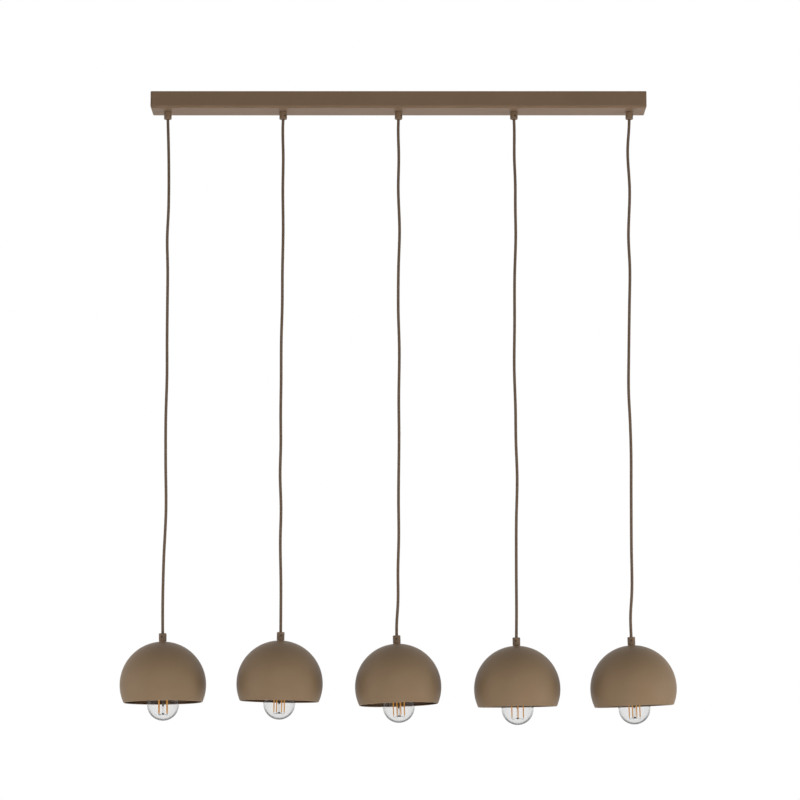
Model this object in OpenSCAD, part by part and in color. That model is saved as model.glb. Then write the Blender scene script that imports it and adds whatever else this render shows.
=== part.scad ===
// Pendant light: five domed shades on cords below one long ceiling bar, each with a clear filament bulb.
// Millimetres. +Z is up, +X runs to the right along the bar and +Y runs away from the viewer.
// The origin is on the ceiling plane, at the middle of the bar.

/* [Ceiling bar] */
// Length of the bar
bar_length = 942; // [840:1:1400]
// How far the bar runs past the outer pendants at each end
bar_end_margin = 31; // [26:1:80]
// Depth of the bar, front to back
bar_depth = 72; // [64:1:120]
// Height of the bar below the ceiling
bar_height = 32; // [32:1:60]
// Sheet thickness of the bar
bar_wall = 1.2; // [0.8:0.1:2]
// Outside radius of the bends along the bottom edges
bar_bend = 5; // [2.5:0.5:8]
// Outside radius of the corners at both ends
bar_corner = 4; // [2.5:0.5:8]

/* [Mounting bracket] */
// Width of the strap
bracket_width = 30; // [28:1:40]
// Sheet thickness of the strap
bracket_thick = 1.5; // [1:0.1:2]
// How far the bent ends reach down
tab_drop = 16; // [14:1:20]
// Distance between the two slots for ceiling screws
slot_spacing = 600; // [400:10:700]
// End-to-end length of a slot
slot_length = 20; // [12:1:30]
// Width of a slot
slot_width = 5; // [4:0.5:6]
// Diameter of the hole for the mains cable
inlet_dia = 20; // [14:1:22]
// Nominal diameter of the screws at the bar's ends
end_screw_dia = 4; // [3:0.5:5]

/* [Cords] */
// Outside diameter of a cord
cord_dia = 5.5; // [4:0.1:6]
// How far a pendant swings to the front or back, in degrees
swing_limit = 25; // [5:1:30]
// How far a shade tilts to either side on its cord, in degrees
tilt_limit = 12; // [5:1:14]

/* [Cord grips] */
// Outside diameter of a cord grip
grip_dia = 14.5; // [13.5:0.5:18]
// Height of a grip under the bar
ceiling_grip_height = 15; // [14:0.5:22]
// Height of a grip on a shade
shade_grip_height = 16; // [14:0.5:22]
// Radius of the rounded edge at a grip's free end
grip_round = 1.2; // [0.4:0.1:2]
// Height of the narrow neck at a grip's foot
neck_height = 1.2; // [0.6:0.1:2]
// Depth of the flared mouth that the cord leaves through
mouth_depth = 3; // [2:0.5:4]
// Diameter of the threaded tube that the grip clamps with
thread_dia = 10; // [9.5:0.5:11]
// Width across the flats of the locknut
nut_flats = 14; // [13:0.5:17]
// Height of the locknut
nut_height = 4; // [3:0.5:4]
// Thickness of the lock washer
washer_thick = 1; // [0.6:0.1:1]
// Diameter of the grub screw that holds the cord
grub_dia = 4; // [3:0.5:4]

/* [Shade] */
// Outside radius of the domed shade
shade_radius = 80.5; // [70:0.5:90]
// Sheet thickness of the shade
shade_wall = 1; // [0.8:0.1:1.5]
// How far the rim lies below the dome's widest line
rim_drop = 33; // [20:1:45]
// Radius of the rolled bead round the rim
rim_bead = 1.1; // [0.8:0.1:2]
// Radius of the flat seat at the top of the dome
seat_radius = 9; // [9:0.5:12]

/* [Lampholder] */
// Outside diameter of the lampholder's cap
holder_dia = 40; // [38:1:48]
// Height of the cap, with its neck
holder_cap_height = 25; // [22:1:30]
// Height of the screwed-on skirt
skirt_height = 35; // [34:1:40]
// Wall of the cap and the skirt
holder_wall = 2.5; // [1.5:0.1:3]
// Height of the contact block
block_height = 7; // [5:0.5:8]

/* [Bulb] */
// Radius of the round end of the glass
bulb_radius = 30; // [28:0.5:40]
// Length of the bulb from its contact to the end of the glass
bulb_length = 106; // [100:1:120]
// Diameter over the thread of the bulb's cap
cap_dia = 26.2; // [26:0.1:26.6]
// Height of the bulb's cap, with its contact
cap_height = 26.5; // [25:0.5:28]
// Thickness of the glass
glass_wall = 0.8; // [0.6:0.1:1.2]
// Distance of the filaments from the bulb's middle
cage_radius = 10.7; // [6:0.1:14]
// Diameter of a filament
filament_dia = 2.3; // [1.5:0.1:3]
// Length of a filament
filament_length = 42; // [30:1:44]
// Height of the filaments' lower ends above the end of the bulb
filament_rise = 11.5; // [10:0.5:16]

/* [Hidden] */
$fn = 64;
COUNT = 5;

// Routes of the cords from the ceiling grip's mouth down to the shade's grip, each point as
// sideways, front-to-back and down. They follow the slight waves in which the cords hang.
ROUTES = [
    [[0, 0, 0], [0.5, 0, 15], [2, 0, 60], [3, 0, 110], [3, 0, 175], [1, 0, 235], [2.5, 0, 295], [2.5, 0, 365],
     [2.5, 0, 430], [3, 0, 495], [1.5, 0, 580], [2, 0, 660], [3.5, 0, 750], [0, 0.5, 850], [-1, 0.5, 940],
     [-0.5, 0.5, 986]],
    [[0, 0, 0], [-0.5, 0, 15], [0.5, 0, 80], [0, -0.5, 140], [1, -0.5, 215], [0, -1, 300], [0, -1, 360],
     [-1.5, -1.5, 430], [-1.5, -1.5, 510], [-2, -1, 570], [-1.5, -1, 625], [-2.5, -1.5, 685], [-0.5, -2, 750],
     [-1.5, -2, 810], [0, -2.5, 890], [0, -1.5, 984]],
    [[0, 0, 0], [-0.5, 0, 15], [0.5, 0, 80], [-0.5, 0, 135], [2, 0.5, 220], [0, 0.5, 290], [-0.5, 1, 370],
     [1.5, 1, 445], [0.5, 0.5, 545], [1, 0.5, 605], [0, 1, 735], [0.5, 1, 800], [-1, 1, 865], [-1, 1, 925],
     [-3.5, 1, 970], [-3.5, 1, 990]],
    [[0, 0, 0], [0.5, 0, 15], [0.5, 0, 80], [2, 0, 125], [2, 0.5, 175], [2.5, 0.5, 225], [0, 0.5, 310],
     [-0.5, 0, 400], [-1.5, 0, 480], [0.5, 0, 560], [1, -0.5, 620], [3, -0.5, 690], [1, -1, 775], [0.5, -2, 860],
     [0.5, -4, 945], [0, -3, 994]],
    [[0, 0, 0], [-0.5, 0, 15], [-3.5, 0, 60], [-0.5, 0, 140], [-3.5, 0, 235], [-1.5, -0.5, 290],
     [-3, -0.5, 365], [-5, -1, 455], [-6, -1, 525], [-3.5, -0.5, 590], [-2.5, -0.5, 640], [-3, -1, 720],
     [-3.5, -1.5, 820], [-3.5, -2.5, 905], [-6.5, -3.5, 955], [-5.5, -2.5, 993]],
];
// How each shade hangs on its cord: turned about X, then about Y, in degrees
LEANS = [[-0.3, -0.8], [0.8, 1], [-0.5, -1.8], [1.7, -0.8], [1.5, -2.2]];
// How far each bulb is screwed round, which sets where its filaments stand, in degrees
BULB_TURNS = [45, 28, 19, 2, 17];
// How far each grip is turned, which sets where its grub screw faces, in degrees from +X
CEILING_GRIP_TURNS = [25, 60, 40, 75, 30];
SHADE_GRIP_TURNS = [-100, -80, -95, -105, -90];

// Clearances
thread_play = 0.1;
tapped_play = 0.05;
cord_play = 0.45;
fit_play = 0.1;
moving_gap = 0.3;
sheet_gap = 0.4;

// Bar, bracket and end screws
pendant_pitch = (bar_length - 2 * bar_end_margin) / (COUNT - 1);
floor_z = -bar_height + bar_wall;
bracket_length = bar_length - 2 * (bar_wall + sheet_gap);
bracket_bend = 1;
end_screw_z = -tab_drop / 2 - 1;
end_screw_r = end_screw_dia / 2;
end_head_r = end_screw_r * 1.9;
end_head_height = end_screw_r * 1.1;
end_screw_length = 10;

// Grips, and the cord inside them
cord_r = cord_dia / 2;
grip_r = grip_dia / 2;
bore_r = cord_r + cord_play;
thread_r = thread_dia / 2;
neck_inset = 0.7;
grub_r = grub_dia / 2;
grub_sink = 0.5;
grub_below_mouth = 3.5;
nut_r = nut_flats / 2 / cos(30);
washer_r = nut_flats / 2 + 1;
ceiling_thread_length = bar_wall + washer_thick + nut_height + 0.8;
cord_exit_z = -bar_height - ceiling_grip_height + mouth_depth;
tail_gap_top = cord_r * sin(swing_limit) + 0.25;
tail_gap_shade = cord_r * sin(tilt_limit) + 0.25;
cord_sides = 10;

// Wiring inside the bar: one cable above another, each turned towards the terminal block
elbow_r = 8;
lane_step = cord_dia + 0.5;
first_lane_z = floor_z + washer_thick + nut_height + elbow_r;
LANES = [2, 1, 0, 1, 2];
terminal_length = 30;
terminal_width = 20;
terminal_height = 20;
terminal_x = pendant_pitch / 2;
cable_stop = 12;
core_r = 1;
core_pitch = 6;
terminal_screw_r = 2;
terminal_screw_spacing = 16;
block_screw_r = 1.5;
block_head_r = 2.8;
block_head_height = 1.8;
earth_x = terminal_x - terminal_length / 2 - 16;
earth_y = 8;
earth_r = 2;
earth_nut_height = 3.2;
inlet_x = terminal_x + terminal_length / 2 + 30;

// Shade, in a frame whose origin is the middle of the flat seat
shade_centre_z = -sqrt(pow(shade_radius, 2) - pow(seat_radius, 2));
seat_wall = shade_wall + 0.2;
bead_angle = asin((rim_drop - rim_bead) / (shade_radius - rim_bead));
bead_x = (shade_radius - rim_bead) * cos(bead_angle);
bead_z = shade_centre_z - (shade_radius - rim_bead) * sin(bead_angle);
shell_end_z = shade_centre_z - shade_radius * sin(bead_angle);
pivot_z = shade_grip_height - mouth_depth;
washer_top_z = -seat_wall;
nut_top_z = washer_top_z - washer_thick;
holder_top_z = nut_top_z - nut_height;
neck_length = 8;
neck_r = thread_r + 3;
shade_thread_length = -holder_top_z + neck_length - 1;

// Lampholder and bulb, in the same frame
holder_r = holder_dia / 2;
cap_end_z = holder_top_z - holder_cap_height;
shoulder_height = 8;
ledge_r = holder_r - 2 * holder_wall;
block_r = holder_r - holder_wall - 0.5 - fit_play;
block_end_z = cap_end_z - block_height;
tongue_height = 2.4;
tongue_r = 3;
bulb_top_z = block_end_z - tongue_height - moving_gap;
cap_r = cap_dia / 2;
shell_in_r = cap_r + 0.6;
shell_wall = 0.6;
shell_length = 22;
terminal_post_r = 2;
bulb_end_z = bulb_top_z - bulb_length;
bulb_centre_z = bulb_end_z + bulb_radius;
bulb_neck_z = bulb_top_z - cap_height;
bulb_neck_r = cap_r + 0.3;
neck_straight = 5;
// The concave fillet that joins the straight neck to the round end
fillet_z = bulb_neck_z - neck_straight;
fillet_drop = fillet_z - bulb_centre_z;
fillet_r = (pow(bulb_neck_r, 2) + pow(fillet_drop, 2) - pow(bulb_radius, 2)) / (2 * (bulb_radius - bulb_neck_r));
contact_r = 4.5;
contact_height = 1.5;
insulator_r = 11;
insulator_height = 4;
thread_pitch = 3.6;
thread_turns = 4;
thread_depth = 0.9;
filament_end_z = bulb_end_z + filament_rise;
filament_r = filament_dia / 2;
wire_r = 0.45;
stem_r = 2.2;
stem_tip_r = 1;
stem_flare_height = 2;

HEAD_PARTS = ["cord", "cord_grip", "grip_fasteners", "shade", "holder_cap", "holder_skirt", "holder_insert",
              "bulb_cap", "bulb_glass", "bulb_filaments"];

function pendant_x(k) = (k - (COUNT - 1) / 2) * pendant_pitch;
function unit(v) = v / norm(v);
function along(p, i) = unit(p[min(i + 1, len(p) - 1)] - p[max(i - 1, 0)]);
function flare_r(angle, depth) = bore_r + depth * tan(angle);

// Points of one ring of a swept tube, square to the direction t
function ring(p, t, r, sides) =
    let (u = unit(cross([0, 1, 0], t)), v = cross(t, u))
    [for (s = [0:sides - 1]) p + r * (cos(360 * s / sides) * u + sin(360 * s / sides) * v)];

module swept_tube(path, r, sides) {
    rings = len(path);
    last = (rings - 1) * sides;
    polyhedron(
        points = [for (i = [0:rings - 1]) each ring(path[i], along(path, i), r, sides)],
        faces = concat(
            [for (i = [0:rings - 2]) for (s = [0:sides - 1]) let (a = i * sides, n = (s + 1) % sides)
                [a + s, a + n, a + sides + n]],
            [for (i = [0:rings - 2]) for (s = [0:sides - 1]) let (a = i * sides, n = (s + 1) % sides)
                [a + s, a + sides + n, a + sides + s]],
            [for (s = [1:sides - 2]) [0, s + 1, s]],
            [for (s = [1:sides - 2]) [last, last + s, last + s + 1]]
        )
    );
}

module rounded_square(size, r) {
    square([size[0] - 2 * r, size[1]], center = true);
    square([size[0], size[1] - 2 * r], center = true);
    for (x = [-1, 1], y = [-1, 1])
        translate([x * (size[0] / 2 - r), y * (size[1] / 2 - r)]) circle(r);
}

// A block that hangs from z = 0, with its lower edges and its upright corners rounded
module bar_block(length, depth, height, bend, corner, above) {
    intersection() {
        rotate([90, 0, 90]) linear_extrude(length, center = true) rounded_square([depth, 2 * height], bend);
        rotate([90, 0, 0]) linear_extrude(depth, center = true) rounded_square([length, 2 * height], corner);
        translate([0, 0, -height]) linear_extrude(height + above) rounded_square([length, depth], corner);
    }
}

module canopy_bar() {
    color("#6c5a49") difference() {
        bar_block(bar_length, bar_depth, bar_height, bar_bend, bar_corner, 0);
        bar_block(bar_length - 2 * bar_wall, bar_depth - 2 * bar_wall, bar_height - bar_wall,
                  bar_bend - bar_wall, bar_corner - bar_wall, 1);
        for (k = [0:COUNT - 1])
            translate([pendant_x(k), 0, -bar_height - 1])
                cylinder(r = thread_r + thread_play, h = bar_wall + 2);
        translate([0, 0, end_screw_z]) rotate([0, 90, 0])
            cylinder(r = end_screw_r + 0.2, h = bar_length + 2, center = true);
    }
}

module bracket_section() {
    intersection() {
        translate([0, -tab_drop / 2]) square([bracket_length, tab_drop], center = true);
        difference() {
            translate([0, -tab_drop])
                rounded_square([bracket_length, 2 * tab_drop], bracket_bend + bracket_thick);
            translate([0, -tab_drop - bracket_thick])
                rounded_square([bracket_length - 2 * bracket_thick, 2 * tab_drop], bracket_bend);
        }
    }
}

module slot_cut(x) {
    translate([x, 0, -bracket_thick - 1]) linear_extrude(bracket_thick + 2) {
        square([slot_length - slot_width, slot_width], center = true);
        for (side = [-1, 1]) translate([side * (slot_length - slot_width) / 2, 0]) circle(slot_width / 2);
    }
}

module strap_hole(x, y, r) {
    translate([x, y, -bracket_thick - 1]) cylinder(r = r, h = bracket_thick + 2);
}

module mounting_bracket() {
    color("#b9bcbf") difference() {
        rotate([90, 0, 0]) linear_extrude(bracket_width, center = true) bracket_section();
        for (side = [-1, 1]) slot_cut(side * slot_spacing / 2);
        strap_hole(inlet_x, 0, inlet_dia / 2);
        strap_hole(terminal_x, 0, block_screw_r + tapped_play);
        strap_hole(earth_x, earth_y, earth_r + tapped_play);
        translate([0, 0, end_screw_z]) rotate([0, 90, 0])
            cylinder(r = end_screw_r + tapped_play, h = bar_length, center = true);
    }
}

// A pan-head screw that points along -X, with the underside of its head at x = 0
module pan_screw() {
    rotate([0, 90, 0]) difference() {
        union() {
            translate([0, 0, -end_screw_length]) cylinder(r = end_screw_r, h = end_screw_length + 1);
            rotate_extrude() intersection() {
                square([end_head_r, end_head_height]);
                translate([0, end_head_height - end_head_r * 1.6]) circle(end_head_r * 1.6);
            }
        }
        for (turn = [0, 90]) rotate([0, 0, turn])
            translate([-end_head_r * 0.6, -0.4, end_head_height - 1.1]) cube([end_head_r * 1.2, 0.8, 2]);
    }
}

module canopy_screws() {
    color("#6c5a49") for (side = [0, 180])
        rotate([0, 0, side]) translate([bar_length / 2, 0, end_screw_z]) pan_screw();
}

// Half of a grip's outline: its seat is at y = 0 and its free end, rounded, at y = height
module grip_outline(height) {
    square([grip_r - neck_inset, height - grip_round]);
    translate([0, neck_height]) square([grip_r, height - grip_round - neck_height]);
    square([grip_r - grip_round, height]);
    translate([grip_r - grip_round, height - grip_round]) circle(grip_round);
}

function grub_z(height) = height - mouth_depth - grub_below_mouth;

// A cord grip that stands on z = 0 with its threaded tube below and its flared mouth at the top
module cord_grip(height, limit, thread_length, turn) {
    mouth_over = 0.5;
    difference() {
        union() {
            rotate_extrude() grip_outline(height);
            translate([0, 0, -thread_length]) cylinder(r = thread_r, h = thread_length + neck_height);
        }
        translate([0, 0, -thread_length - 1]) cylinder(r = bore_r, h = thread_length + height + 2);
        translate([0, 0, height - mouth_depth])
            cylinder(r1 = bore_r, r2 = flare_r(limit, mouth_depth + mouth_over), h = mouth_depth + mouth_over);
        translate([0, 0, grub_z(height)]) rotate([0, 90, turn])
            cylinder(r = grub_r + tapped_play, h = grip_r + 1);
    }
}

// The grub screw of a grip, which presses on the cord through the grip's side
module grub_screw(height, turn) {
    tip = cord_r + fit_play;
    length = grip_r - grub_sink - tip;
    translate([0, 0, grub_z(height)]) rotate([0, 90, turn]) translate([0, 0, tip]) difference() {
        cylinder(r = grub_r, h = length);
        translate([-grub_r - 1, -0.35, length - 0.9]) cube([2 * grub_r + 2, 0.7, 2]);
    }
}

// A lock washer and its nut, below z = 0
module washer_and_nut() {
    translate([0, 0, -washer_thick]) difference() {
        cylinder(r = washer_r, h = washer_thick);
        translate([0, 0, -1]) cylinder(r = thread_r + 0.2, h = washer_thick + 2);
    }
    translate([0, 0, -washer_thick - nut_height]) difference() {
        cylinder(r = nut_r, h = nut_height, $fn = 6);
        translate([0, 0, -1]) cylinder(r = thread_r + tapped_play, h = nut_height + 2);
    }
}

module at_ceiling_grip(k) {
    translate([pendant_x(k), 0, -bar_height]) rotate([180, 0, 0]) children();
}

module ceiling_grips() {
    color("#66523f") for (k = [0:COUNT - 1])
        at_ceiling_grip(k)
            cord_grip(ceiling_grip_height, swing_limit, ceiling_thread_length, CEILING_GRIP_TURNS[k]);
}

module ceiling_locknuts() {
    color("#b9bcbf") for (k = [0:COUNT - 1])
        at_ceiling_grip(k) translate([0, 0, -bar_wall]) washer_and_nut();
}

module ceiling_grub_screws() {
    color("#3a3028") for (k = [0:COUNT - 1])
        at_ceiling_grip(k) grub_screw(ceiling_grip_height, CEILING_GRIP_TURNS[k]);
}

module terminal_block() {
    color("#e8e4da") translate([terminal_x, 0, -bracket_thick - terminal_height]) difference() {
        translate([-terminal_length / 2, -terminal_width / 2, 0])
            cube([terminal_length, terminal_width, terminal_height]);
        translate([0, 0, -1]) cylinder(r = block_screw_r + 0.2, h = terminal_height + 2);
        for (x = [-1, 1], y = [-1, 0, 1])
            translate([x * terminal_screw_spacing / 2, y * core_pitch, -1])
                cylinder(r = terminal_screw_r + fit_play, h = terminal_height / 2 + 1);
    }
}

module terminal_screws() {
    bottom = -bracket_thick - terminal_height;
    color("#c2a55a") {
        for (x = [-1, 1], y = [-1, 0, 1])
            translate([terminal_x + x * terminal_screw_spacing / 2, y * core_pitch, bottom + 1])
                difference() {
                    cylinder(r = terminal_screw_r, h = terminal_height / 2 - 1);
                    translate([-terminal_screw_r - 1, -0.4, -1]) cube([2 * terminal_screw_r + 2, 0.8, 1.8]);
                }
        translate([terminal_x, 0, bottom - block_head_height]) {
            cylinder(r = block_head_r, h = block_head_height);
            cylinder(r = block_screw_r, h = block_head_height + terminal_height + bracket_thick);
        }
    }
}

// The end of one cord inside the bar: up through the grip, round an elbow and along to the terminal block
module inner_cable(k) {
    x = pendant_x(k);
    side = sign(terminal_x - x);
    lane_z = first_lane_z + LANES[k] * lane_step;
    start_z = cord_exit_z + tail_gap_top;
    stop_x = terminal_x - side * (terminal_length / 2 + cable_stop);
    run = abs(stop_x - x) - elbow_r;
    translate([x, 0, start_z]) cylinder(r = cord_r, h = lane_z - elbow_r - start_z);
    translate([x, 0, 0]) mirror([side < 0 ? 1 : 0, 0, 0]) {
        translate([elbow_r, 0, lane_z - elbow_r]) rotate([90, 0, 0]) rotate([0, 0, 90])
            rotate_extrude(angle = 90) translate([elbow_r, 0]) circle(cord_r);
        translate([elbow_r, 0, lane_z]) rotate([0, 90, 0]) cylinder(r = cord_r, h = run);
        for (y = [-1.5, 1.5])
            translate([elbow_r + run - 1, y, lane_z]) rotate([0, 90, 0]) cylinder(r = core_r, h = cable_stop + 1);
    }
}

module canopy_leads() {
    color("#5c4a3b") for (k = [0:COUNT - 1]) inner_cable(k);
}

module earth_stud() {
    lug_z = -bracket_thick - 1;
    wire_run = terminal_x - terminal_length / 2 - earth_x;
    color("#9aa33a") {
        translate([earth_x, earth_y, -12]) cylinder(r = earth_r, h = 12);
        translate([earth_x, earth_y, lug_z]) cylinder(r = 4, h = 1);
        translate([earth_x, earth_y, lug_z - earth_nut_height]) cylinder(r = 4, h = earth_nut_height, $fn = 6);
        translate([earth_x, earth_y, lug_z - core_r + 0.8]) rotate([0, 90, 0]) cylinder(r = core_r, h = wire_run);
    }
}

module cord(k) {
    route = [for (p = ROUTES[k]) [p[0], p[1], -p[2]]];
    color("#5c4a3b") translate([pendant_x(k), 0, cord_exit_z]) swept_tube(route, cord_r, cord_sides);
}

// Places a part of pendant k: the seat at the top of its shade is at the children's origin
module at_head(k) {
    end = ROUTES[k][len(ROUTES[k]) - 1];
    translate([pendant_x(k) + end[0], end[1], cord_exit_z - end[2]])
        rotate([LEANS[k][0], LEANS[k][1], 0])
            translate([0, 0, -pivot_z]) children();
}

module shade_grip(k) {
    color("#66523f") at_head(k)
        cord_grip(shade_grip_height, tilt_limit, shade_thread_length, SHADE_GRIP_TURNS[k]);
}

module grip_fasteners(k) {
    color("#8c8680") at_head(k) {
        grub_screw(shade_grip_height, SHADE_GRIP_TURNS[k]);
        translate([0, 0, washer_top_z]) washer_and_nut();
    }
}

module shade_section() {
    difference() {
        intersection() {
            translate([0, shade_centre_z]) circle(shade_radius, $fn = 180);
            translate([thread_r + thread_play, shell_end_z]) square([shade_radius, -shell_end_z]);
        }
        intersection() {
            translate([0, shade_centre_z]) circle(shade_radius - shade_wall, $fn = 180);
            translate([-1, shell_end_z - 1]) square([shade_radius + 1, -shell_end_z + 1 - seat_wall]);
        }
    }
    translate([bead_x, bead_z]) circle(rim_bead);
}

module shade(k) {
    color("#806c54") at_head(k) rotate_extrude($fn = 180) shade_section();
}

module holder_cap_section() {
    shoulder_z = holder_top_z - neck_length;
    difference() {
        polygon([
            [thread_r + tapped_play, holder_top_z], [neck_r, holder_top_z], [neck_r, shoulder_z],
            [holder_r, shoulder_z - shoulder_height], [holder_r, cap_end_z], [thread_r + tapped_play, cap_end_z],
        ]);
        polygon([
            [0, shoulder_z - 1], [neck_r - 1, shoulder_z - 1],
            [ledge_r, shoulder_z - shoulder_height - 1], [ledge_r, cap_end_z - 1], [0, cap_end_z - 1],
        ]);
    }
}

module holder_cap(k) {
    color("#2b2622") at_head(k) rotate_extrude() holder_cap_section();
}

module holder_skirt(k) {
    skirt_r = holder_r - 0.5;
    rib_r = 0.5;
    color("#2b2622") at_head(k) translate([0, 0, cap_end_z - skirt_height]) difference() {
        union() {
            cylinder(r = skirt_r, h = skirt_height);
            translate([0, 0, skirt_height - 3]) rotate_extrude() translate([skirt_r - 0.1, 0]) circle(rib_r);
        }
        translate([0, 0, -1]) cylinder(r = skirt_r - holder_wall, h = skirt_height + 2);
    }
}

// Contact block, screwed shell, centre contact, terminal posts and the cord's own end above them
module holder_insert(k) {
    tail_top = pivot_z - tail_gap_shade;
    color("#c2a55a") at_head(k) {
        translate([0, 0, block_end_z]) cylinder(r = block_r, h = block_height);
        translate([0, 0, block_end_z - tongue_height]) cylinder(r = tongue_r, h = tongue_height + 1);
        translate([0, 0, block_end_z - shell_length]) difference() {
            cylinder(r = shell_in_r + shell_wall, h = shell_length + 1);
            translate([0, 0, -1]) cylinder(r = shell_in_r, h = shell_length + 1);
        }
        for (side = [-1, 1])
            translate([side * block_r / 2, 0, block_end_z + block_height - 1])
                cylinder(r = terminal_post_r, h = 4);
        translate([0, 0, cap_end_z - 1]) cylinder(r = cord_r, h = tail_top - cap_end_z + 1);
    }
}

module bulb_cap_section() {
    insulator_z = bulb_top_z - contact_height;
    thread_z = insulator_z - insulator_height;
    root_r = cap_r - thread_depth;
    difference() {
        polygon([
            [0, bulb_top_z], [contact_r, bulb_top_z], [contact_r, insulator_z], [insulator_r, thread_z],
            [root_r, thread_z - 1], [root_r, bulb_neck_z + 2.5],
            [bulb_neck_r, bulb_neck_z + 2], [bulb_neck_r, bulb_neck_z], [0, bulb_neck_z],
        ]);
        polygon([
            [-1, thread_z - 2], [root_r - 1, thread_z - 2], [root_r - 1, bulb_neck_z - 1], [-1, bulb_neck_z - 1],
        ]);
    }
}

module bulb_cap(k) {
    first_turn_z = bulb_top_z - contact_height - insulator_height - 3;
    color("#b8b4a8") at_head(k) {
        rotate_extrude() bulb_cap_section();
        for (i = [0:thread_turns - 1])
            translate([0, 0, first_turn_z - i * thread_pitch])
                rotate_extrude() translate([cap_r - thread_depth, 0]) circle(thread_depth);
    }
}

// The bulb's body moved inwards by inset: a neck that flares into the round end
module glass_body(inset) {
    r = bulb_radius - inset;
    neck = bulb_neck_r - inset;
    fillet = fillet_r + inset;
    centre_x = neck + fillet;
    touch = [r * centre_x / (r + fillet), bulb_centre_z + r * fillet_drop / (r + fillet)];
    rotate_extrude($fn = 120) difference() {
        polygon([
            [0, bulb_neck_z + inset], [neck, bulb_neck_z + inset], [neck, fillet_z], touch, [0, touch[1]],
        ]);
        translate([centre_x, fillet_z]) circle(fillet, $fn = 180);
    }
    translate([0, 0, bulb_centre_z]) sphere(r, $fn = 120);
}

module bulb_glass(k) {
    color("#d8dde0", 0.35) at_head(k) difference() {
        glass_body(0);
        glass_body(glass_wall);
    }
}

// Glass stem, support wires and filaments as one mount
module bulb_filaments(k) {
    top_z = filament_end_z + filament_length;
    wire_end_z = filament_end_z - 1.5;
    color("#d8954e") at_head(k) rotate([0, 0, BULB_TURNS[k]]) {
        translate([0, 0, bulb_neck_z - stem_flare_height])
            cylinder(r = bulb_neck_r - glass_wall - fit_play, h = stem_flare_height);
        translate([0, 0, top_z - 1]) cylinder(r = stem_r, h = bulb_neck_z - top_z);
        translate([0, 0, wire_end_z]) cylinder(r = stem_tip_r, h = top_z - wire_end_z);
        for (turn = [0:90:270]) rotate([0, 0, turn]) {
            translate([cage_radius, 0, filament_end_z]) cylinder(r = filament_r, h = filament_length);
            for (z = [wire_end_z + wire_r, top_z + 1])
                translate([0, 0, z]) rotate([0, 90, 0]) cylinder(r = wire_r, h = cage_radius);
            translate([cage_radius, 0, wire_end_z]) cylinder(r = wire_r, h = filament_length + 3.5);
        }
    }
}

canopy_bar();
mounting_bracket();
canopy_screws();
ceiling_grips();
ceiling_locknuts();
ceiling_grub_screws();
terminal_block();
terminal_screws();
canopy_leads();
earth_stud();
for (k = [0:COUNT - 1]) {
    cord(k);
    shade_grip(k);
    grip_fasteners(k);
    shade(k);
    holder_cap(k);
    holder_skirt(k);
    holder_insert(k);
    bulb_cap(k);
    bulb_glass(k);
    bulb_filaments(k);
}
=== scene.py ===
"""Pendant light: five domed shades on cords below one ceiling bar. Metres, +Z up, +Y is away from view."""
import math

import bpy
from mathutils import Matrix, Vector


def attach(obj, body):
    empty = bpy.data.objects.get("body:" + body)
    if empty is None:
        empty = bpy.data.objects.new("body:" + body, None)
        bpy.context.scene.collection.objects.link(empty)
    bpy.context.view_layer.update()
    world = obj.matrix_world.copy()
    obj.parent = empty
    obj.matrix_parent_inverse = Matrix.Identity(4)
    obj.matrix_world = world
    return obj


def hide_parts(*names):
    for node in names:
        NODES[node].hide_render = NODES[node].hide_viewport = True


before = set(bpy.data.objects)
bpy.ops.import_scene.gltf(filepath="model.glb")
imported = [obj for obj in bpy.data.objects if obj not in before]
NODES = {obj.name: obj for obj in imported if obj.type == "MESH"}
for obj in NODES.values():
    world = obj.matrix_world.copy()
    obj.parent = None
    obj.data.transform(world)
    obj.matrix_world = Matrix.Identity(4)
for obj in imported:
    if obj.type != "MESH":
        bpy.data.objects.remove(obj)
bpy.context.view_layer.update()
MM = 0.001

# Sizes shared with the CAD model, in millimetres
COUNT = 5
PITCH = 220
EXIT_Z = -44
CORD_DIA = 5.5

# Heights on a pendant count from the seat at the top of its shade; the pivot is the mouth of its cord grip
PIVOT_Z = 13
SHADE_R = 80.5
SHADE_WALL = 1.0
SEAT_R = 9.0
SEAT_WALL = 1.2
SHADE_HOLE_R = 5.1
RIM_DROP = 33.0
BEAD_R = 1.1
SKIRT_R = 19.5
SKIRT_INNER_R = 17.0
SKIRT_TOP_Z = -31.2
SKIRT_END_Z = -66.2
CAP_TOP_Z = -40.9
BULB_R = 30.0
BULB_CENTRE_Z = -116.9
BULB_NECK_R = 13.4
BULB_NECK_Z = -67.4
NECK_STRAIGHT = 5.0
GLASS_WALL = 0.8
CAGE_R = 10.7
ROD_R = 1.15
ROD_LOW_Z = -135.4
ROD_HIGH_Z = -93.4

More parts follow.
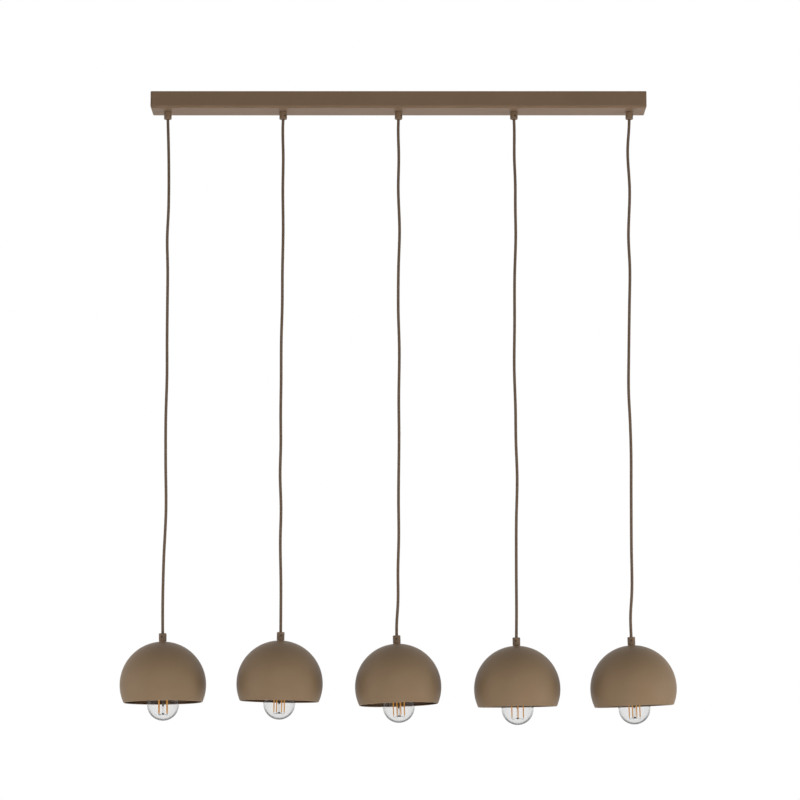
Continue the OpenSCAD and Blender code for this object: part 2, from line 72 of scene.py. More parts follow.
# Route of each cord below the ceiling grip's mouth: sideways, front-to-back and down
ROUTES = [
    [(0, 0, 0), (0.5, 0, 15), (2, 0, 60), (3, 0, 110), (3, 0, 175), (1, 0, 235), (2.5, 0, 295),
     (2.5, 0, 365), (2.5, 0, 430), (3, 0, 495), (1.5, 0, 580), (2, 0, 660), (3.5, 0, 750), (0, 0.5, 850),
     (-1, 0.5, 940), (-0.5, 0.5, 986)],
    [(0, 0, 0), (-0.5, 0, 15), (0.5, 0, 80), (0, -0.5, 140), (1, -0.5, 215), (0, -1, 300), (0, -1, 360),
     (-1.5, -1.5, 430), (-1.5, -1.5, 510), (-2, -1, 570), (-1.5, -1, 625), (-2.5, -1.5, 685),
     (-0.5, -2, 750), (-1.5, -2, 810), (0, -2.5, 890), (0, -1.5, 984)],
    [(0, 0, 0), (-0.5, 0, 15), (0.5, 0, 80), (-0.5, 0, 135), (2, 0.5, 220), (0, 0.5, 290), (-0.5, 1, 370),
     (1.5, 1, 445), (0.5, 0.5, 545), (1, 0.5, 605), (0, 1, 735), (0.5, 1, 800), (-1, 1, 865), (-1, 1, 925),
     (-3.5, 1, 970), (-3.5, 1, 990)],
    [(0, 0, 0), (0.5, 0, 15), (0.5, 0, 80), (2, 0, 125), (2, 0.5, 175), (2.5, 0.5, 225), (0, 0.5, 310),
     (-0.5, 0, 400), (-1.5, 0, 480), (0.5, 0, 560), (1, -0.5, 620), (3, -0.5, 690), (1, -1, 775),
     (0.5, -2, 860), (0.5, -4, 945), (0, -3, 994)],
    [(0, 0, 0), (-0.5, 0, 15), (-3.5, 0, 60), (-0.5, 0, 140), (-3.5, 0, 235), (-1.5, -0.5, 290),
     (-3, -0.5, 365), (-5, -1, 455), (-6, -1, 525), (-3.5, -0.5, 590), (-2.5, -0.5, 640), (-3, -1, 720),
     (-3.5, -1.5, 820), (-3.5, -2.5, 905), (-6.5, -3.5, 955), (-5.5, -2.5, 993)],
]
# How each shade hangs, turned about X and then about Y, and how far its bulb is screwed round, in degrees
LEANS = [(-0.3, -0.8), (0.8, 1), (-0.5, -1.8), (1.7, -0.8), (1.5, -2.2)]
BULB_TURNS = [45, 28, 19, 2, 17]

# Camera at the photograph's viewpoint: metres and degrees, with the lens and sensor in millimetres
CAMERA_PLACE = (0.0028, -6.3904, -1.4688)
CAMERA_PITCH = 7.856
CAMERA_LENS = 153.95
CAMERA_SENSOR = 36
CAMERA_CLIP = (0.05, 400)
# Studio lamps: name, place, aim, width and height, power in watts
AT_SHADES = (0, 0, -1.05)
LAMPS = [
    ("front_high", (0, -2.9, -0.32), AT_SHADES, (1.8, 1.2), 27.6),
    ("front_low", (0, -2.46, -2.82), AT_SHADES, (1.6, 1.2), 39),
    ("right_side", (2.87, -0.77, -1.52), AT_SHADES, (1.2, 1.2), 30.5),
    ("left_near", (-1.45, -0.35, -1.2), (-0.44, 0, -1.1), (0.5, 1.2), 6.7),
    ("right_near", (1.45, -0.35, -1.2), (0.44, 0, -1.1), (0.5, 1.2), 4.8),
    ("back_high", (0, 2.6, 0.7), (0, 0, -0.8), (2.4, 1.0), 12),
    ("back", (0, 3.0, -1.2), AT_SHADES, (2.4, 1.6), 36),
    ("below", (0, -1.0, -3.2), AT_SHADES, (2.0, 1.2), 10),
    ("bar_below", (0, 0.45, -0.7), (0, 0, -0.03), (1.6, 0.3), 1.8),
]


def make_camera():
    data = bpy.data.cameras.new("camera")
    data.lens = CAMERA_LENS
    data.sensor_width = CAMERA_SENSOR
    data.clip_start, data.clip_end = CAMERA_CLIP
    camera = bpy.data.objects.new("camera", data)
    camera.location = CAMERA_PLACE
    camera.rotation_euler = (math.radians(90 + CAMERA_PITCH), 0, 0)
    bpy.context.scene.collection.objects.link(camera)
    bpy.context.scene.camera = camera
    bpy.context.scene.view_settings.view_transform = "Standard"


make_camera()


# Mesh helpers, in millimetres
def build_mesh(name, verts, faces, materials, slots=None, sharp=35, uvs=None):
    """Smooth mesh with edges sharper than an angle in degrees kept. Slots give each face's material."""
    mesh = bpy.data.meshes.new(name)
    mesh.from_pydata([Vector(v) * MM for v in verts], [], faces)
    for material in materials:
        mesh.materials.append(material)
    for i, polygon in enumerate(mesh.polygons):
        polygon.use_smooth = True
        if slots:
            polygon.material_index = slots[i]
    if uvs:
        layer = mesh.uv_layers.new(name="along")
        for i, uv in enumerate(uvs):
            layer.data[i].uv = uv
    mesh.validate()
    mesh.set_sharp_from_angle(angle=math.radians(sharp))
    return mesh


def add_object(name, mesh, matrix=Matrix.Identity(4)):
    obj = bpy.data.objects.new(name, mesh)
    obj.matrix_world = matrix
    bpy.context.scene.collection.objects.link(obj)
    return obj


def revolve(profile, steps, closed=True):
    """Turns a profile of (radius, height) points about Z. A point on the axis becomes one vertex.

    Returns the vertices, the faces, and for each face the profile's span that it comes from.
    """
    verts = []
    rings = []
    for r, z in profile:
        if r < 1e-6:
            rings.append([len(verts)] * steps)
            verts.append((0, 0, z))
        else:
            rings.append([len(verts) + s for s in range(steps)])
            for s in range(steps):
                a = 2 * math.pi * s / steps
                verts.append((r * math.cos(a), r * math.sin(a), z))
    faces = []
    spans = []
    for i in range(len(profile) if closed else len(profile) - 1):
        low = rings[i]
        high = rings[(i + 1) % len(profile)]
        for s in range(steps):
            t = (s + 1) % steps
            face = [low[s], low[t], high[t], high[s]]
            face = [v for j, v in enumerate(face) if v != face[j - 1]]
            if len(face) > 2:
                faces.append(face[::-1])
                spans.append(i)
    return verts, faces, spans


def shaped_rings(rings, steps, grow, closed):
    """Skin through rings of (radius, height), where grow(i, angle) is added to ring i's radius."""
    verts = []
    for i, (r, z) in enumerate(rings):
        for s in range(steps):
            a = 2 * math.pi * s / steps
            grown = r + grow(i, a)
            verts.append((grown * math.cos(a), grown * math.sin(a), z))
    faces = []
    for i in range(len(rings) if closed else len(rings) - 1):
        j = (i + 1) % len(rings)
        for s in range(steps):
            t = (s + 1) % steps
            faces.append([i * steps + s, j * steps + s, j * steps + t, i * steps + t])
    return verts, faces


def arc(centre, r, start, stop, steps):
    """Points on a circle, from angle start to stop in degrees."""
    angles = [math.radians(start + (stop - start) * i / steps) for i in range(steps + 1)]
    return [(centre[0] + r * math.cos(a), centre[1] + r * math.sin(a)) for a in angles]


def tube(path, radii, sides):
    """A round tube along a path, with a radius at each point and a cap at each end."""
    verts = []
    faces = []
    side = None
    for i, p in enumerate(path):
        along = (path[min(i + 1, len(path) - 1)] - path[max(i - 1, 0)]).normalized()
        if side is None:
            upright = Vector((0, 1, 0)) if abs(along.y) < 0.9 else Vector((1, 0, 0))
            side = along.cross(upright).normalized()
        side = (side - along * side.dot(along)).normalized()
        up = along.cross(side)
        for s in range(sides):
            a = 2 * math.pi * s / sides
            verts.append(p + side * (radii[i] * math.cos(a)) + up * (radii[i] * math.sin(a)))
    for i in range(len(path) - 1):
        for s in range(sides):
            t = (s + 1) % sides
            faces.append([i * sides + s, i * sides + t, (i + 1) * sides + t, (i + 1) * sides + s])
    last = (len(path) - 1) * sides
    faces.append([sides - 1 - s for s in range(sides)])
    faces.append([last + s for s in range(sides)])
    return verts, faces


def joined(parts):
    """Vertices and faces of several parts as one."""
    verts = []
    faces = []
    for part_verts, part_faces in parts:
        start = len(verts)
        verts += list(part_verts)
        faces += [[start + v for v in face] for face in part_faces]
    return verts, faces


def smooth_route(points, step):
    """Points about a step apart on a smooth curve through the route's points."""
    def slope(i):
        if i in (0, len(points) - 1):
            a, b = (0, 1) if i == 0 else (i - 1, i)
            return (points[b] - points[a]) / (points[b].z - points[a].z)
        before = points[i].z - points[i - 1].z
        after = points[i + 1].z - points[i].z
        d0 = (points[i] - points[i - 1]) / before
        d1 = (points[i + 1] - points[i]) / after
        return (d0 * after + d1 * before) / (before + after)

    slopes = [slope(i) for i in range(len(points))]
    found = []
    for i in range(len(points) - 1):
        h = points[i + 1].z - points[i].z
        count = max(1, round(abs(h) / step))
        for j in range(count):
            u = j / count
            point = points[i] * (2 * u ** 3 - 3 * u ** 2 + 1)
            point += slopes[i] * (h * (u ** 3 - 2 * u ** 2 + u))
            point += points[i + 1] * (3 * u ** 2 - 2 * u ** 3)
            point += slopes[i + 1] * (h * (u ** 3 - u ** 2))
            found.append(point)
    return found + [points[-1]]


# Materials, with the sockets of a Mix node that carry its factor and colours
MIX_FACTOR = 0
MIX_A_COLOUR = 6
MIX_B_COLOUR = 7
MIX_COLOUR_RESULT = 2


class Look:
    """A node-built material: a Principled shader with helpers for its texture."""

    def __init__(self, name, rough, metal=0.0, specular=0.5):
        self.material = bpy.data.materials.new(name)
        self.material.use_nodes = True
        self.tree = self.material.node_tree
        self.nodes = self.tree.nodes
        self.nodes.clear()
        self.shader = self.add("ShaderNodeBsdfPrincipled", Roughness=rough, Metallic=metal)
        self.shader.inputs["Specular IOR Level"].default_value = specular
        self.output = self.add("ShaderNodeOutputMaterial")
        self.link(self.shader.outputs[0], self.output.inputs["Surface"])
        self.place = self.add("ShaderNodeTexCoord")

    def add(self, kind, **values):
        node = self.nodes.new(kind)
        for key, value in values.items():
            node.inputs[key].default_value = value
        return node

    def link(self, a, b):
        self.tree.links.new(a, b)

    def axes(self, space):
        """The three separate coordinates of a texture space."""
        node = self.nodes.new("ShaderNodeSeparateXYZ")
        self.link(self.place.outputs[space], node.inputs[0])
        return node.outputs

    def noise(self, scale, detail, stretch=(1, 1, 1)):
        mapping = self.add("ShaderNodeMapping")
        mapping.inputs["Scale"].default_value = stretch
        self.link(self.place.outputs["Object"], mapping.inputs["Vector"])
        node = self.add("ShaderNodeTexNoise", Scale=scale, Detail=detail, Roughness=0.5)
        self.link(mapping.outputs[0], node.inputs["Vector"])
        return node.outputs["Fac"]

    def ramp(self, source, stops, target):
        node = self.nodes.new("ShaderNodeValToRGB")
        while len(node.color_ramp.elements) < len(stops):
            node.color_ramp.elements.new(0.5)
        for element, (at, colour) in zip(node.color_ramp.elements, stops):
            element.position = at
            element.color = colour
        self.link(source, node.inputs[0])
        self.link(node.outputs[0], target)

    def paint(self, source, stops):
        """Base colour that follows a source through stops of (position, colour)."""
        self.ramp(source, stops, self.shader.inputs["Base Color"])

    def mottle(self, source, colour, *stops):
        """Base colour made darker or lighter by a source, in stops of (position, factor)."""
        self.paint(source, [(at, tuple(c * factor for c in colour[:3]) + (1,)) for at, factor in stops])

    def combine(self, kind, a, b=0.0):
        node = self.nodes.new("ShaderNodeMath")
        node.operation = kind
        for i, value in enumerate((a, b)):
            if isinstance(value, (int, float)):
                node.inputs[i].default_value = value
            else:
                self.link(value, node.inputs[i])
        return node.outputs[0]

    def bump(self, height, strength, distance):
        node = self.add("ShaderNodeBump", Strength=strength, Distance=distance)
        self.link(height, node.inputs["Height"])
        self.link(node.outputs[0], self.shader.inputs["Normal"])


def srgb(r, g, b):
    """Linear colour of an 8-bit display colour."""
    def one(v):
        v /= 255
        return v / 12.92 if v <= 0.04045 else ((v + 0.055) / 1.055) ** 2.4
    return (one(r), one(g), one(b), 1)


def grey(v):
    return (v, v, v, 1)


def powder_coat(name, colour, rough, specular, grain):
    """Fine matt powder coat: slight mottling, and the small pits that the melted powder leaves."""
    look = Look(name, rough, specular=specular)
    cloud = look.combine("MULTIPLY", look.noise(scale=14, detail=3), 0.6)
    fine = look.combine("MULTIPLY", look.noise(scale=2600, detail=2), 0.4)
    look.mottle(look.combine("ADD", cloud, fine), colour, (0.35, 0.95), (0.65, 1.05))
    small_pits = look.combine("MULTIPLY", look.noise(scale=3200, detail=1), 0.5)
    pits = look.combine("ADD", look.noise(scale=900, detail=2), small_pits)
    look.bump(pits, grain, distance=0.00012)
    return look.material


def plain_metal(name, colour, rough, stretch=(1, 1, 1)):
    """Metal with fine lines, drawn out where stretch is smaller along an axis."""
    look = Look(name, rough, metal=1.0)
    lines = look.noise(scale=1500, detail=3, stretch=stretch)
    look.mottle(lines, colour, (0.3, 0.86), (0.7, 1.08))
    look.bump(lines, strength=0.15, distance=0.00005)
    return look.material


def moulded(name, colour, rough):
    """Moulded plastic or fired insulator with a fine skin."""
    look = Look(name, rough)
    look.mottle(look.noise(scale=60, detail=2), colour, (0.3, 0.92), (0.7, 1.06))
    look.bump(look.noise(scale=1800, detail=2), strength=0.2, distance=0.00006)
    return look.material


def cord_sheath(name, colour):
    """Woven sheath: two sets of threads that wind round the cord and cross."""
    thread_rise = 0.0016
    threads_around = 16
    look = Look(name, rough=0.62, specular=0.3)
    look.shader.inputs["Sheen Weight"].default_value = 0.15
    place = look.axes("UV")
    along = look.combine("MULTIPLY", place[0], 2 * math.pi / thread_rise)
    around = look.combine("MULTIPLY", place[1], 2 * math.pi * threads_around)
    one_way = look.combine("SINE", look.combine("ADD", along, around))
    other_way = look.combine("SINE", look.combine("SUBTRACT", along, around))
    weave = look.combine("MULTIPLY", look.combine("MAXIMUM", one_way, other_way), 0.5)
    fuzz = look.combine("MULTIPLY", look.noise(scale=5000, detail=1), 0.35)
    height = look.combine("ADD", weave, fuzz)
    look.mottle(height, colour, (0.1, 0.93), (0.75, 1.04))
    look.bump(height, strength=0.2, distance=0.00008)
    return look.material


def clear_glass(name, tint, density):
    """Polished glass with a painted dark reflection where it is seen edge on, most near the bulb's lower
    end.
    """
    darkens_from = BULB_CENTRE_Z - 4
    darkest_from = BULB_CENTRE_Z - 20
    look = Look(name, rough=0.0)
    look.shader.inputs["Transmission Weight"].default_value = 1.0
    look.shader.inputs["IOR"].default_value = 1.3
    # Painted dark reflection: the glass colour goes dark where it is seen edge on, and more so below the
    # bulb's middle
    painted_outline_weight = look.nodes.new("ShaderNodeMapRange")
    painted_outline_weight.inputs["From Min"].default_value = darkens_from * MM
    painted_outline_weight.inputs["From Max"].default_value = darkest_from * MM
    painted_outline_weight.inputs["To Min"].default_value = 0.25
    look.link(look.axes("Object")[2], painted_outline_weight.inputs["Value"])
    edge = look.add("ShaderNodeLayerWeight", Blend=0.5)
    painted_dark_outline = look.nodes.new("ShaderNodeMix")
    painted_dark_outline.data_type = "RGBA"
    look.link(painted_outline_weight.outputs[0], painted_dark_outline.inputs[MIX_FACTOR])
    painted_dark_outline.inputs[MIX_A_COLOUR].default_value = grey(0.97)
    look.ramp(edge.outputs["Facing"],
              [(0.0, grey(1)), (0.5, grey(0.97)), (0.61, grey(0.45)), (0.72, grey(0.04)), (1.0, grey(0))],
              painted_dark_outline.inputs[MIX_B_COLOUR])
    look.link(painted_dark_outline.outputs[MIX_COLOUR_RESULT], look.shader.inputs["Base Color"])
    look.bump(look.noise(scale=40, detail=1), strength=0.012, distance=0.0003)
    volume = look.add("ShaderNodeVolumeAbsorption", Density=density)
    volume.inputs["Color"].default_value = tint
    look.link(volume.outputs[0], look.output.inputs["Volume"])
    return look.material


def filament_coat(name):
    """Amber phosphor coat, slightly lumpy, paler towards the ends, with a faint painted glow though the
    bulb is not lit.
    """
    rod_length = 0.04
    look = Look(name, rough=0.55, specular=0.4)
    above_foot = look.combine("SUBTRACT", look.axes("Object")[2], ROD_LOW_Z * MM)
    height = look.combine("MULTIPLY", above_foot, 1 / rod_length)
    lumps = look.combine("MULTIPLY", look.noise(scale=900, detail=2), 0.05)
    look.paint(look.combine("ADD", height, lumps),
               [(0.0, srgb(222, 184, 120)), (0.3, srgb(222, 166, 90)), (0.6, srgb(224, 156, 72)),
                (1.0, srgb(224, 168, 92))])
    # Painted glow: the unlit filaments give off a little light of their own
    look.shader.inputs["Emission Color"].default_value = srgb(228, 162, 76)
    look.shader.inputs["Emission Strength"].default_value = 0.32
    look.shader.inputs["Subsurface Weight"].default_value = 0.2
    look.shader.inputs["Subsurface Radius"].default_value = (0.6, 0.3, 0.1)
    look.shader.inputs["Subsurface Scale"].default_value = 0.001
    look.bump(look.noise(scale=1500, detail=2), strength=0.4, distance=0.0001)
    return look.material


SHADE_PAINT = powder_coat("shade_paint", srgb(126, 104, 79), rough=0.5, specular=0.3, grain=0.35)
# Lighter paint for the bead along the shade's rim: a painted highlight where the rolled edge catches light
BEAD_HIGHLIGHT_PAINT = powder_coat("bead_painted_highlight", srgb(143, 120, 95), rough=0.45, specular=0.3, grain=0.25)
INNER_PAINT = powder_coat("inner_paint", srgb(108, 86, 66), rough=0.55, specular=0.3, grain=0.35)
BAR_PAINT = powder_coat("bar_paint", srgb(122, 100, 80), rough=0.45, specular=0.06, grain=0.35)
GRIP_PAINT = powder_coat("grip_paint", srgb(116, 94, 73), rough=0.36, specular=0.3, grain=0.25)
SHEATH = cord_sheath("woven_sheath", srgb(97, 79, 63))
LEAD_SHEATH = moulded("lead_sheath", srgb(100, 83, 66), rough=0.55)
DRAWN = (1, 1, 0.2)
ZINC = plain_metal("zinc_plated", srgb(196, 198, 200), rough=0.32)
DARK_STEEL = plain_metal("blackened_steel", srgb(84, 74, 64), rough=0.4)
BRASS = plain_metal("plain_brass", srgb(206, 176, 108), rough=0.3, stretch=DRAWN)
NICKEL = plain_metal("nickel_plated", srgb(200, 197, 188), rough=0.22, stretch=DRAWN)
WIRE = plain_metal("support_wire", srgb(150, 148, 144), rough=0.25, stretch=DRAWN)
TIN = plain_metal("tinned_contact", srgb(170, 170, 172), rough=0.35)
BLACK_GLASS = moulded("black_insulator", srgb(24, 22, 24), rough=0.15)
CREAM_PLASTIC = moulded("cream_plastic", srgb(226, 220, 204), rough=0.45)
DARK_PLASTIC = moulded("dark_plastic", srgb(40, 35, 31), rough=0.4)
GLASS_TINT = (0.52, 0.51, 0.5, 1)
BULB_GLASS = clear_glass("bulb_glass", GLASS_TINT, density=230)
STEM_GLASS = clear_glass("stem_glass", GLASS_TINT, density=90)
AMBER = filament_coat("amber_coat")


# The CAD pieces that keep their own shape are only painted
def paint_node(node, material):
    materials = NODES[node].data.materials
    if not materials:
        materials.append(material)
    for i in range(len(materials)):
        materials[i] = material


for node, material in {
    "canopy_bar": BAR_PAINT,
    "mounting_bracket": ZINC,
    "canopy_screws": BAR_PAINT,
    "ceiling_grips": GRIP_PAINT,
    "ceiling_locknuts": ZINC,
    "ceiling_grub_screws": DARK_STEEL,
    "terminal_block": CREAM_PLASTIC,
    "terminal_screws": BRASS,
    "canopy_leads": LEAD_SHEATH,
    "earth_stud": BRASS,
}.items():
    paint_node(node, material)
for k in range(1, COUNT + 1):
    paint_node(f"cord_grip_{k}", GRIP_PAINT)
    paint_node(f"grip_fasteners_{k}", DARK_STEEL)
    paint_node(f"holder_cap_{k}", DARK_PLASTIC)
    paint_node(f"holder_insert_{k}", BRASS)


# Places of the cords and of what hangs on them
def route_points(k):
    x = (k - (COUNT - 1) / 2) * PITCH
    return [Vector((x + sideways, depth, EXIT_Z - down)) for sideways, depth, down in ROUTES[k]]


def head_matrix(k):
    """Places pendant k: the seat at the top of its shade is at the local origin."""
    a, b = LEANS[k]
    return (Matrix.Translation(route_points(k)[-1] * MM) @ Matrix.Rotation(math.radians(b), 4, "Y")
            @ Matrix.Rotation(math.radians(a), 4, "X") @ Matrix.Translation((0, 0, -PIVOT_Z * MM)))


def hang(k, name, mesh, body, node=None, turn=0):
    """Puts a piece on pendant k, turned about the pendant's axis by some degrees."""
    matrix = head_matrix(k) @ Matrix.Rotation(math.radians(turn), 4, "Z")
    piece = add_object(f"{name}_{k + 1}", mesh, matrix)
    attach(piece, f"{body}_{k + 1}")
    if node:
        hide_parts(f"{node}_{k + 1}")


# Cords
def make_cord(k):
    sides = 16
    points = route_points(k)
    path = smooth_route(points, step=3)
    travelled = [0.0]
    for a, b in zip(path, path[1:]):
        travelled.append(travelled[-1] + (b - a).length * MM)
    verts, faces = tube(path, [CORD_DIA / 2] * len(path), sides)
    uvs = []
    for i in range(len(path) - 1):
        for s in range(sides):
            uvs += [(travelled[i], s / sides), (travelled[i], (s + 1) / sides),
                    (travelled[i + 1], (s + 1) / sides), (travelled[i + 1], s / sides)]
    end_caps = [(0, 0)] * (2 * sides)
    name = f"cord_sheath_{k + 1}"
    cord = add_object(name, build_mesh(name, verts, faces, [SHEATH], uvs=uvs + end_caps))
    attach(cord, f"suspension_{k + 1}")
    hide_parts(f"cord_{k + 1}")


for k in range(COUNT):
    make_cord(k)


# Shades
def shade_mesh():
    """The shade's wall with a bead rolled along its rim. Outside and inside have their own paint; the bead
    gets a lighter paint, a painted highlight along the rim.
    """
    centre_z = -math.sqrt(SHADE_R ** 2 - SEAT_R ** 2)
    inner_r = SHADE_R - SHADE_WALL
    path_r = SHADE_R - BEAD_R
    bead_angle = math.asin((RIM_DROP - BEAD_R) / path_r)
    bead = (path_r * math.cos(bead_angle), centre_z - path_r * math.sin(bead_angle))
    bead_angle = math.degrees(bead_angle)
    bead_foot = -bead_angle - 100
    seat_angle = math.degrees(math.acos(SEAT_R / SHADE_R))
    inner_top = math.degrees(math.asin((-SEAT_WALL - centre_z) / inner_r))
    bead_steps = 8
    outer_slot, inner_slot, bead_highlight_slot = range(3)
    outside = [(SHADE_HOLE_R, 0), (SHADE_HOLE_R + 0.15, 0.0), (SEAT_R - 1.2, 0.0)]
    outside += arc((0, centre_z), SHADE_R, seat_angle, -bead_angle, steps=72)
    outside += arc(bead, BEAD_R, -bead_angle, bead_foot, bead_steps)[1:]
    inside = arc(bead, BEAD_R, bead_foot, -bead_angle - 274.8, steps=12)[1:]
    inside += arc((0, centre_z), inner_r, -bead_angle + 1.2, inner_top, steps=60)
    inside += [(SHADE_HOLE_R, -SEAT_WALL)]
    bead_end = len(outside)
    bead_start = bead_end - bead_steps - 1
    verts, faces, spans = revolve(outside + inside, steps=160)
    slots = [outer_slot if s < bead_start else bead_highlight_slot if s < bead_end else inner_slot for s in spans]
    return build_mesh("shade_shell_1", verts, faces, [SHADE_PAINT, INNER_PAINT, BEAD_HIGHLIGHT_PAINT], slots)


mesh = shade_mesh()
for k in range(COUNT):
    hang(k, "shade_shell", mesh, "pendant", "shade")


# Lampholder skirts
def sleeve_mesh():
    """Plastic sleeve, ribbed for the fingers, with a rounded lip."""
    rib_count = 30
    rib_height = 0.42
    lip_r = 1.25
    rings = [(SKIRT_INNER_R, SKIRT_TOP_Z), (SKIRT_R - 0.6, SKIRT_TOP_Z), (SKIRT_R, SKIRT_TOP_Z - 0.6)]
    rings += [(SKIRT_R, SKIRT_TOP_Z - drop) for drop in (3.2, 3.6, 4.2)]
    ribbed = (len(rings) - 1, len(rings))
    rings += [(SKIRT_R, SKIRT_END_Z + rise) for rise in (6.0, 5.4, 5.0, 1.4)]
    rings += arc((SKIRT_R - lip_r, SKIRT_END_Z + lip_r), lip_r, 0, -180, steps=10)
    rings += [(SKIRT_INNER_R, SKIRT_END_Z + 2.5)]

    def rib(i, a):
        if i not in ribbed:
            return 0
        return rib_height * max(0.0, math.cos(rib_count * a)) ** 0.6

    verts, faces = shaped_rings(rings, 360, rib, closed=True)
    return build_mesh("holder_sleeve_1", verts, faces, [DARK_PLASTIC], sharp=50)


mesh = sleeve_mesh()
for k in range(COUNT):
    hang(k, "holder_sleeve", mesh, "pendant", "holder_skirt")


# Bulbs
def cap_mesh():
    """Metal cap with a rolled screw thread, a black insulator and a soldered contact."""
    pitch = 3.6
    middle_r = 12.65
    depth = 0.43
    start = -47.6
    stop = -64.6
    run_in = 2.0
    run_out = 1.2
    plain_depth = 0.6
    count = 70
    steps = 72
    shell_slot, contact_slot, insulator_slot = range(3)
    contact = [(0.01, CAP_TOP_Z), (3.2, CAP_TOP_Z - 0.05), (4.3, CAP_TOP_Z - 0.6)]
    insulator = [(4.5, CAP_TOP_Z - 1.5), (5.5, CAP_TOP_Z - 1.7), (8.6, CAP_TOP_Z - 3.4)]
    shoulder = [(10.9, CAP_TOP_Z - 5.2), (11.5, CAP_TOP_Z - 5.6)]
    screw = [(middle_r, start + (stop - start) * i / count) for i in range(count + 1)]
    skirt = [(12.9, -64.9), (13.3, -65.3), (13.55, -65.9), (13.55, -67.3), (13.45, -67.6), (13.2, -67.4)]
    rings = contact + insulator + shoulder + screw + skirt
    ring_slots = [contact_slot] * len(contact) + [insulator_slot] * len(insulator)
    ring_slots += [shell_slot] * len(shoulder + screw + skirt)
    first = len(contact + insulator + shoulder)

    def thread(i, a):
        if not first <= i <= first + count:
            return 0
        z = rings[i][1]
        fade = min(1, (start - z) / run_in, (z - stop) / run_out)
        wave = math.cos(2 * math.pi * z / pitch + a)
        return depth * (fade * wave - (1 - fade) * plain_depth)

    verts, faces = shaped_rings(rings, steps, thread, closed=False)
    slots = [slot for slot in ring_slots[:-1] for s in range(steps)]
    return build_mesh("bulb_screw_cap_1", verts, faces, [NICKEL, TIN, BLACK_GLASS], slots, sharp=55)


def glass_outline(inset):
    """Outline of the glass from its neck down to the end of the bulb."""
    r = BULB_R - inset
    neck = BULB_NECK_R - inset
    fillet_z = BULB_NECK_Z - NECK_STRAIGHT
    drop = fillet_z - BULB_CENTRE_Z
    fillet = (BULB_NECK_R ** 2 + drop ** 2 - BULB_R ** 2) / (2 * (BULB_R - BULB_NECK_R)) + inset
    centre = (neck + fillet, fillet_z)
    touch = math.degrees(math.atan2(drop, centre[0]))
    line = [(neck, BULB_NECK_Z)]
    line += arc(centre, fillet, 180, 180 + touch, steps=24)
    line += arc((0, BULB_CENTRE_Z), r, touch, -90, steps=56)[1:]
    line[-1] = (0, line[-1][1])
    return line


def envelope_mesh():
    verts, faces, _ = revolve(glass_outline(0) + glass_outline(GLASS_WALL)[::-1], steps=144)
    return build_mesh("bulb_envelope_1", verts, faces, [BULB_GLASS])


def stem_mesh():
    """Glass stem: a flare at the neck, a tube, the pinch round the wires, and a rod down the middle."""
    profile = [(0, -68.0), (12.3, -68.0), (12.3, -69.0), (9.5, -70.2), (6.0, -72.5), (4.2, -76.0),
               (3.4, -81.0), (3.1, -86.0), (2.7, -90.0), (2.3, -93.5), (2.0, -97.0), (1.9, -110.0),
               (1.9, -132.6), (1.6, -133.6), (0, -134.0)]
    verts, faces, _ = revolve(profile, steps=40, closed=False)
    return build_mesh("bulb_stem_1", verts, faces, [STEM_GLASS], sharp=50)


def cage_tube(turn, points, radii, sides):
    """A tube through points of (radius, height) in the plane at one turn about the bulb's axis."""
    return tube([turn @ Vector((r, 0, z)) for r, z in points], radii, sides)


CAGE_TURNS = [Matrix.Rotation(math.radians(90 * i), 3, "Z") for i in range(4)]


def rods_mesh():
    """Four coated filaments with rounded ends, shorter than the cage by the tabs at both ends."""
    tab = 2.0
    length = ROD_HIGH_Z - ROD_LOW_Z - 2 * tab
    end = [(0.02, 0.0), (0.55, 0.05), (0.95, 0.4), (1.1, 1.0), (ROD_R, 2.0)]
    profile = end + [(ROD_R, length / 2)] + [(r, length - z) for r, z in reversed(end)]
    points = [(CAGE_R, ROD_LOW_Z + tab + z) for r, z in profile]
    radii = [r for r, z in profile]
    verts, faces = joined([cage_tube(turn, points, radii, sides=16) for turn in CAGE_TURNS])
    return build_mesh("bulb_rods_1", verts, faces, [AMBER])


def wires_mesh():
    """Metal tabs at the filaments' ends, wires that carry them, and the hub where the lower ones meet."""
    hub_z = -134.4
    low = [(CAGE_R, ROD_LOW_Z + 2.6), (CAGE_R, ROD_LOW_Z + 1.0), (CAGE_R, ROD_LOW_Z - 0.6),
           (CAGE_R - 1.6, ROD_LOW_Z - 1.1), (5, ROD_LOW_Z + 0.6), (1.8, hub_z)]
    high = [(CAGE_R, ROD_HIGH_Z - 2.6), (CAGE_R, ROD_HIGH_Z - 1.0), (CAGE_R, ROD_HIGH_Z + 0.8),
            (CAGE_R - 1.8, ROD_HIGH_Z + 2.6), (4.5, ROD_HIGH_Z + 3.2), (1.6, ROD_HIGH_Z + 2.4)]
    low_radii = [0.5, 0.5, 0.3, 0.3, 0.3, 0.35]
    high_radii = [0.5, 0.5, 0.35, 0.3, 0.3, 0.3]
    hub = [(0, hub_z + 1.5), (2.1, hub_z + 1.5), (2.35, hub_z + 1.2), (2.35, hub_z - 0.5),
           (1.9, hub_z - 1.2), (0, hub_z - 1.5)]
    wire_slot, hub_slot = range(2)
    parts = []
    for turn in CAGE_TURNS:
        parts.append(cage_tube(turn, low, low_radii, sides=10))
        parts.append(cage_tube(turn, high, high_radii, sides=10))
    wire_faces = sum(len(faces) for verts, faces in parts)
    hub_verts, hub_faces, _ = revolve(hub, steps=24, closed=False)
    verts, faces = joined(parts + [(hub_verts, hub_faces)])
    slots = [wire_slot] * wire_faces + [hub_slot] * len(hub_faces)
    return build_mesh("bulb_wires_1", verts, faces, [WIRE, DARK_STEEL], slots)


mesh = cap_mesh()
for k in range(COUNT):
    hang(k, "bulb_screw_cap", mesh, "lamp", "bulb_cap", BULB_TURNS[k])

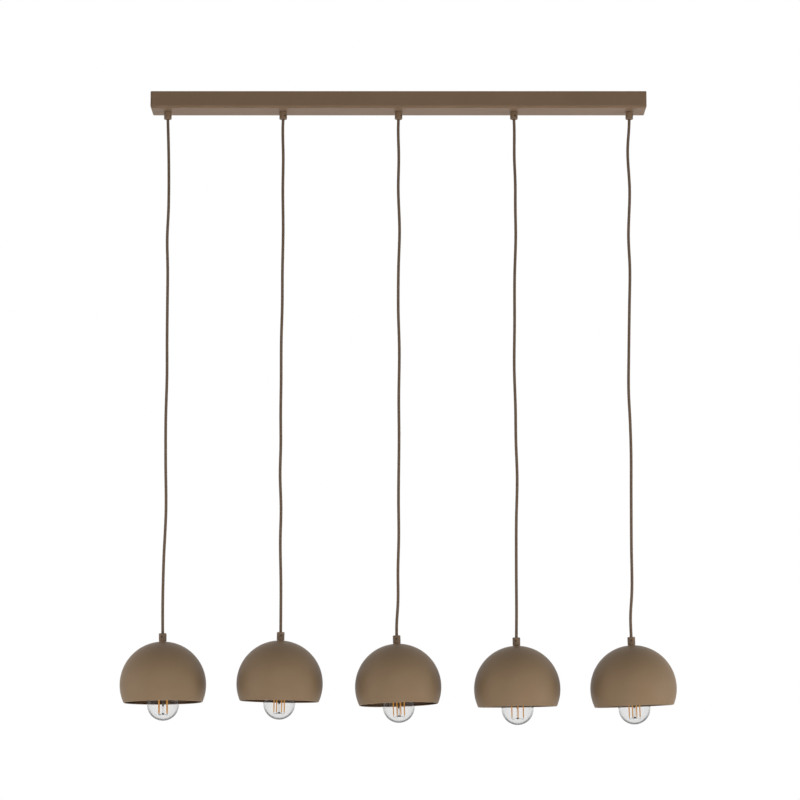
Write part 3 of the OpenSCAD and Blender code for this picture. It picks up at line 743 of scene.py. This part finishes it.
BULB_PIECES = [
    ("bulb_envelope", envelope_mesh(), "bulb_glass", "bulb_glass"),
    ("bulb_stem", stem_mesh(), "bulb_glass", None),
    ("bulb_rods", rods_mesh(), "filament", "bulb_filaments"),
    ("bulb_wires", wires_mesh(), "nickel", None),
]
for k in range(COUNT):
    for name, mesh, slot, node in BULB_PIECES:
        hang(k, name, mesh, "lamp", node, BULB_TURNS[k])


# Floor and studio
def make_floor():
    """Pale floor far below, lit as white to the camera, glossy and transmitted rays."""
    half = 60000
    level = -8600
    glow = 0.9
    count = 24
    row = count + 1
    verts = [(half * (2 * i / count - 1), half * (2 * j / count - 1), level)
             for j in range(row) for i in range(row)]
    faces = [[j * row + i, j * row + i + 1, (j + 1) * row + i + 1, (j + 1) * row + i]
             for j in range(count) for i in range(count)]
    look = Look("floor_paint", rough=0.9, specular=0.1)
    look.paint(look.noise(scale=0.6, detail=3), [(0.3, grey(0.80)), (0.7, grey(0.83))])
    paths = look.nodes.new("ShaderNodeLightPath")
    seen = look.combine("MAXIMUM", paths.outputs["Is Glossy Ray"], paths.outputs["Is Transmission Ray"])
    seen = look.combine("MAXIMUM", paths.outputs["Is Camera Ray"], seen)
    look.shader.inputs["Emission Color"].default_value = grey(1)
    look.link(look.combine("MULTIPLY", seen, glow), look.shader.inputs["Emission Strength"])
    floor = add_object("floor", build_mesh("floor", verts, faces, [look.material]))


def make_lamp(name, place, aim, size, power):
    data = bpy.data.lights.new(name, "AREA")
    data.shape = "RECTANGLE"
    data.size, data.size_y = size
    data.energy = power
    lamp = bpy.data.objects.new(name, data)
    lamp.visible_camera = False
    lamp.visible_transmission = False
    lamp.visible_glossy = False
    lamp.location = place
    lamp.rotation_euler = (Vector(aim) - Vector(place)).to_track_quat("-Z", "Y").to_euler()
    bpy.context.scene.collection.objects.link(lamp)


def make_world():
    """White to the camera, glossy and transmitted rays; to all others a soft fill, stronger from below."""
    fill_below = 0.37
    fill_above = 0.05
    world = bpy.data.worlds.new("studio")
    bpy.context.scene.world = world
    world.use_nodes = True
    nodes = world.node_tree.nodes
    link = world.node_tree.links.new
    nodes.clear()
    output = nodes.new("ShaderNodeOutputWorld")
    fill = nodes.new("ShaderNodeBackground")
    fill.inputs["Color"].default_value = grey(1)
    white = nodes.new("ShaderNodeBackground")
    white.inputs["Color"].default_value = grey(1)
    white.inputs["Strength"].default_value = 1.0
    place = nodes.new("ShaderNodeTexCoord")
    split = nodes.new("ShaderNodeSeparateXYZ")
    link(place.outputs["Generated"], split.inputs[0])
    level = nodes.new("ShaderNodeMapRange")
    level.inputs["From Min"].default_value = -0.3
    level.inputs["From Max"].default_value = 0.6
    level.inputs["To Min"].default_value = fill_below
    level.inputs["To Max"].default_value = fill_above
    link(split.outputs[2], level.inputs["Value"])
    link(level.outputs[0], fill.inputs["Strength"])
    paths = nodes.new("ShaderNodeLightPath")
    seen = paths.outputs["Is Camera Ray"]
    for name in ("Is Glossy Ray", "Is Transmission Ray"):
        either = nodes.new("ShaderNodeMath")
        either.operation = "MAXIMUM"
        link(seen, either.inputs[0])
        link(paths.outputs[name], either.inputs[1])
        seen = either.outputs[0]
    mix = nodes.new("ShaderNodeMixShader")
    link(seen, mix.inputs[0])
    link(fill.outputs[0], mix.inputs[1])
    link(white.outputs[0], mix.inputs[2])
    link(mix.outputs[0], output.inputs["Surface"])


make_floor()
make_world()
for name, place, aim, size, power in LAMPS:
    make_lamp(name, place, aim, size, power)

bpy.context.view_layer.update()
